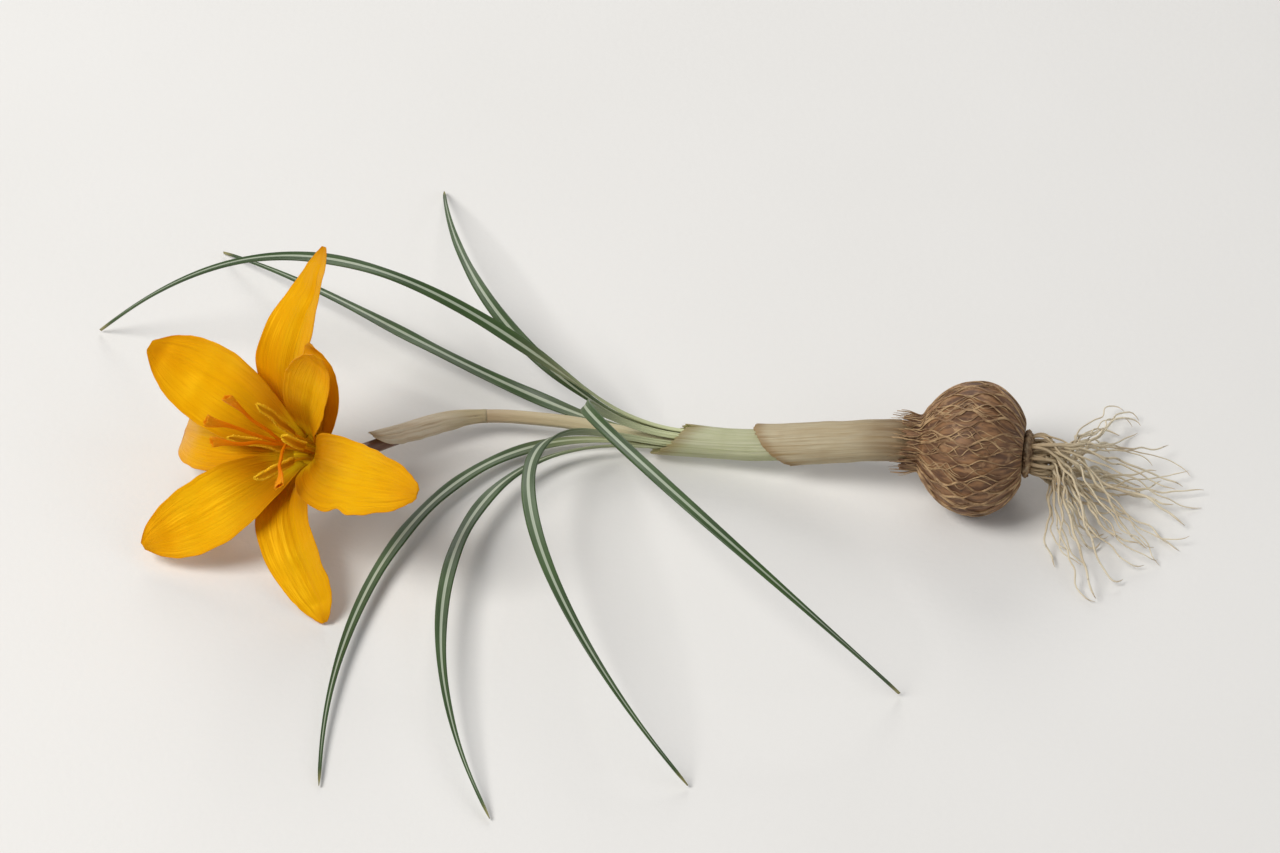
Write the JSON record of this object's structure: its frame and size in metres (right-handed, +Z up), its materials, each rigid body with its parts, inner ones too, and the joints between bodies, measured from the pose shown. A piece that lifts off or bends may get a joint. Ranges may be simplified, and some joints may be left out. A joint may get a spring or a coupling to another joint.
{
  "type": "crocus plant with bulb",
  "caption": "Yellow crocus lifted with its bulb: open flower with orange style, striped narrow leaves, papery sheaths, netted bulb and roots, laid on a surface.",
  "frame": {"origin": "the middle of the small flat spot on the side of the bulb that the plant rests on, on the surface", "axes": "+X from the flower towards the bulb and roots, +Z up from the surface, +Y completes the right-handed set; the flower faces up and towards -X and -Y"},
  "size_m": [0.1865, 0.1493, 0.0412],
  "materials": {
    "bulb_coat": "dry brown netted fibres",
    "root": "pale, slightly dusty",
    "sheath": "papery, pale, brown at the foot",
    "tube": "satin, pale below and purple-brown under the flower",
    "bract": "withered, papery",
    "leaf": "satin dark green with a silvery stripe",
    "tepal": "satin golden yellow with fine veins",
    "stamen": "matte, dusted with pollen",
    "style": "satin orange"
  },
  "bodies": {
    "root": {"corm": "bulb_coat", "roots": "root", "sheath_outer": "sheath", "sheath_inner": "sheath", "flower_tube": "tube", "bract": "bract", "style": "style", "leaf_1": "leaf", "leaf_2": "leaf", "leaf_3": "leaf", "leaf_4": "leaf", "leaf_5": "leaf", "leaf_6": "leaf", "leaf_7": "leaf", "tepal_inner_1": "tepal", "tepal_inner_2": "tepal", "tepal_inner_3": "tepal", "tepal_inner_4": "tepal", "tepal_outer_1": "tepal", "tepal_outer_2": "tepal", "tepal_outer_3": "tepal", "tepal_outer_4": "tepal", "stamen_1": "stamen", "stamen_2": "stamen", "stamen_3": "stamen", "stamen_4": "stamen"}
  },
  "joints": []
}
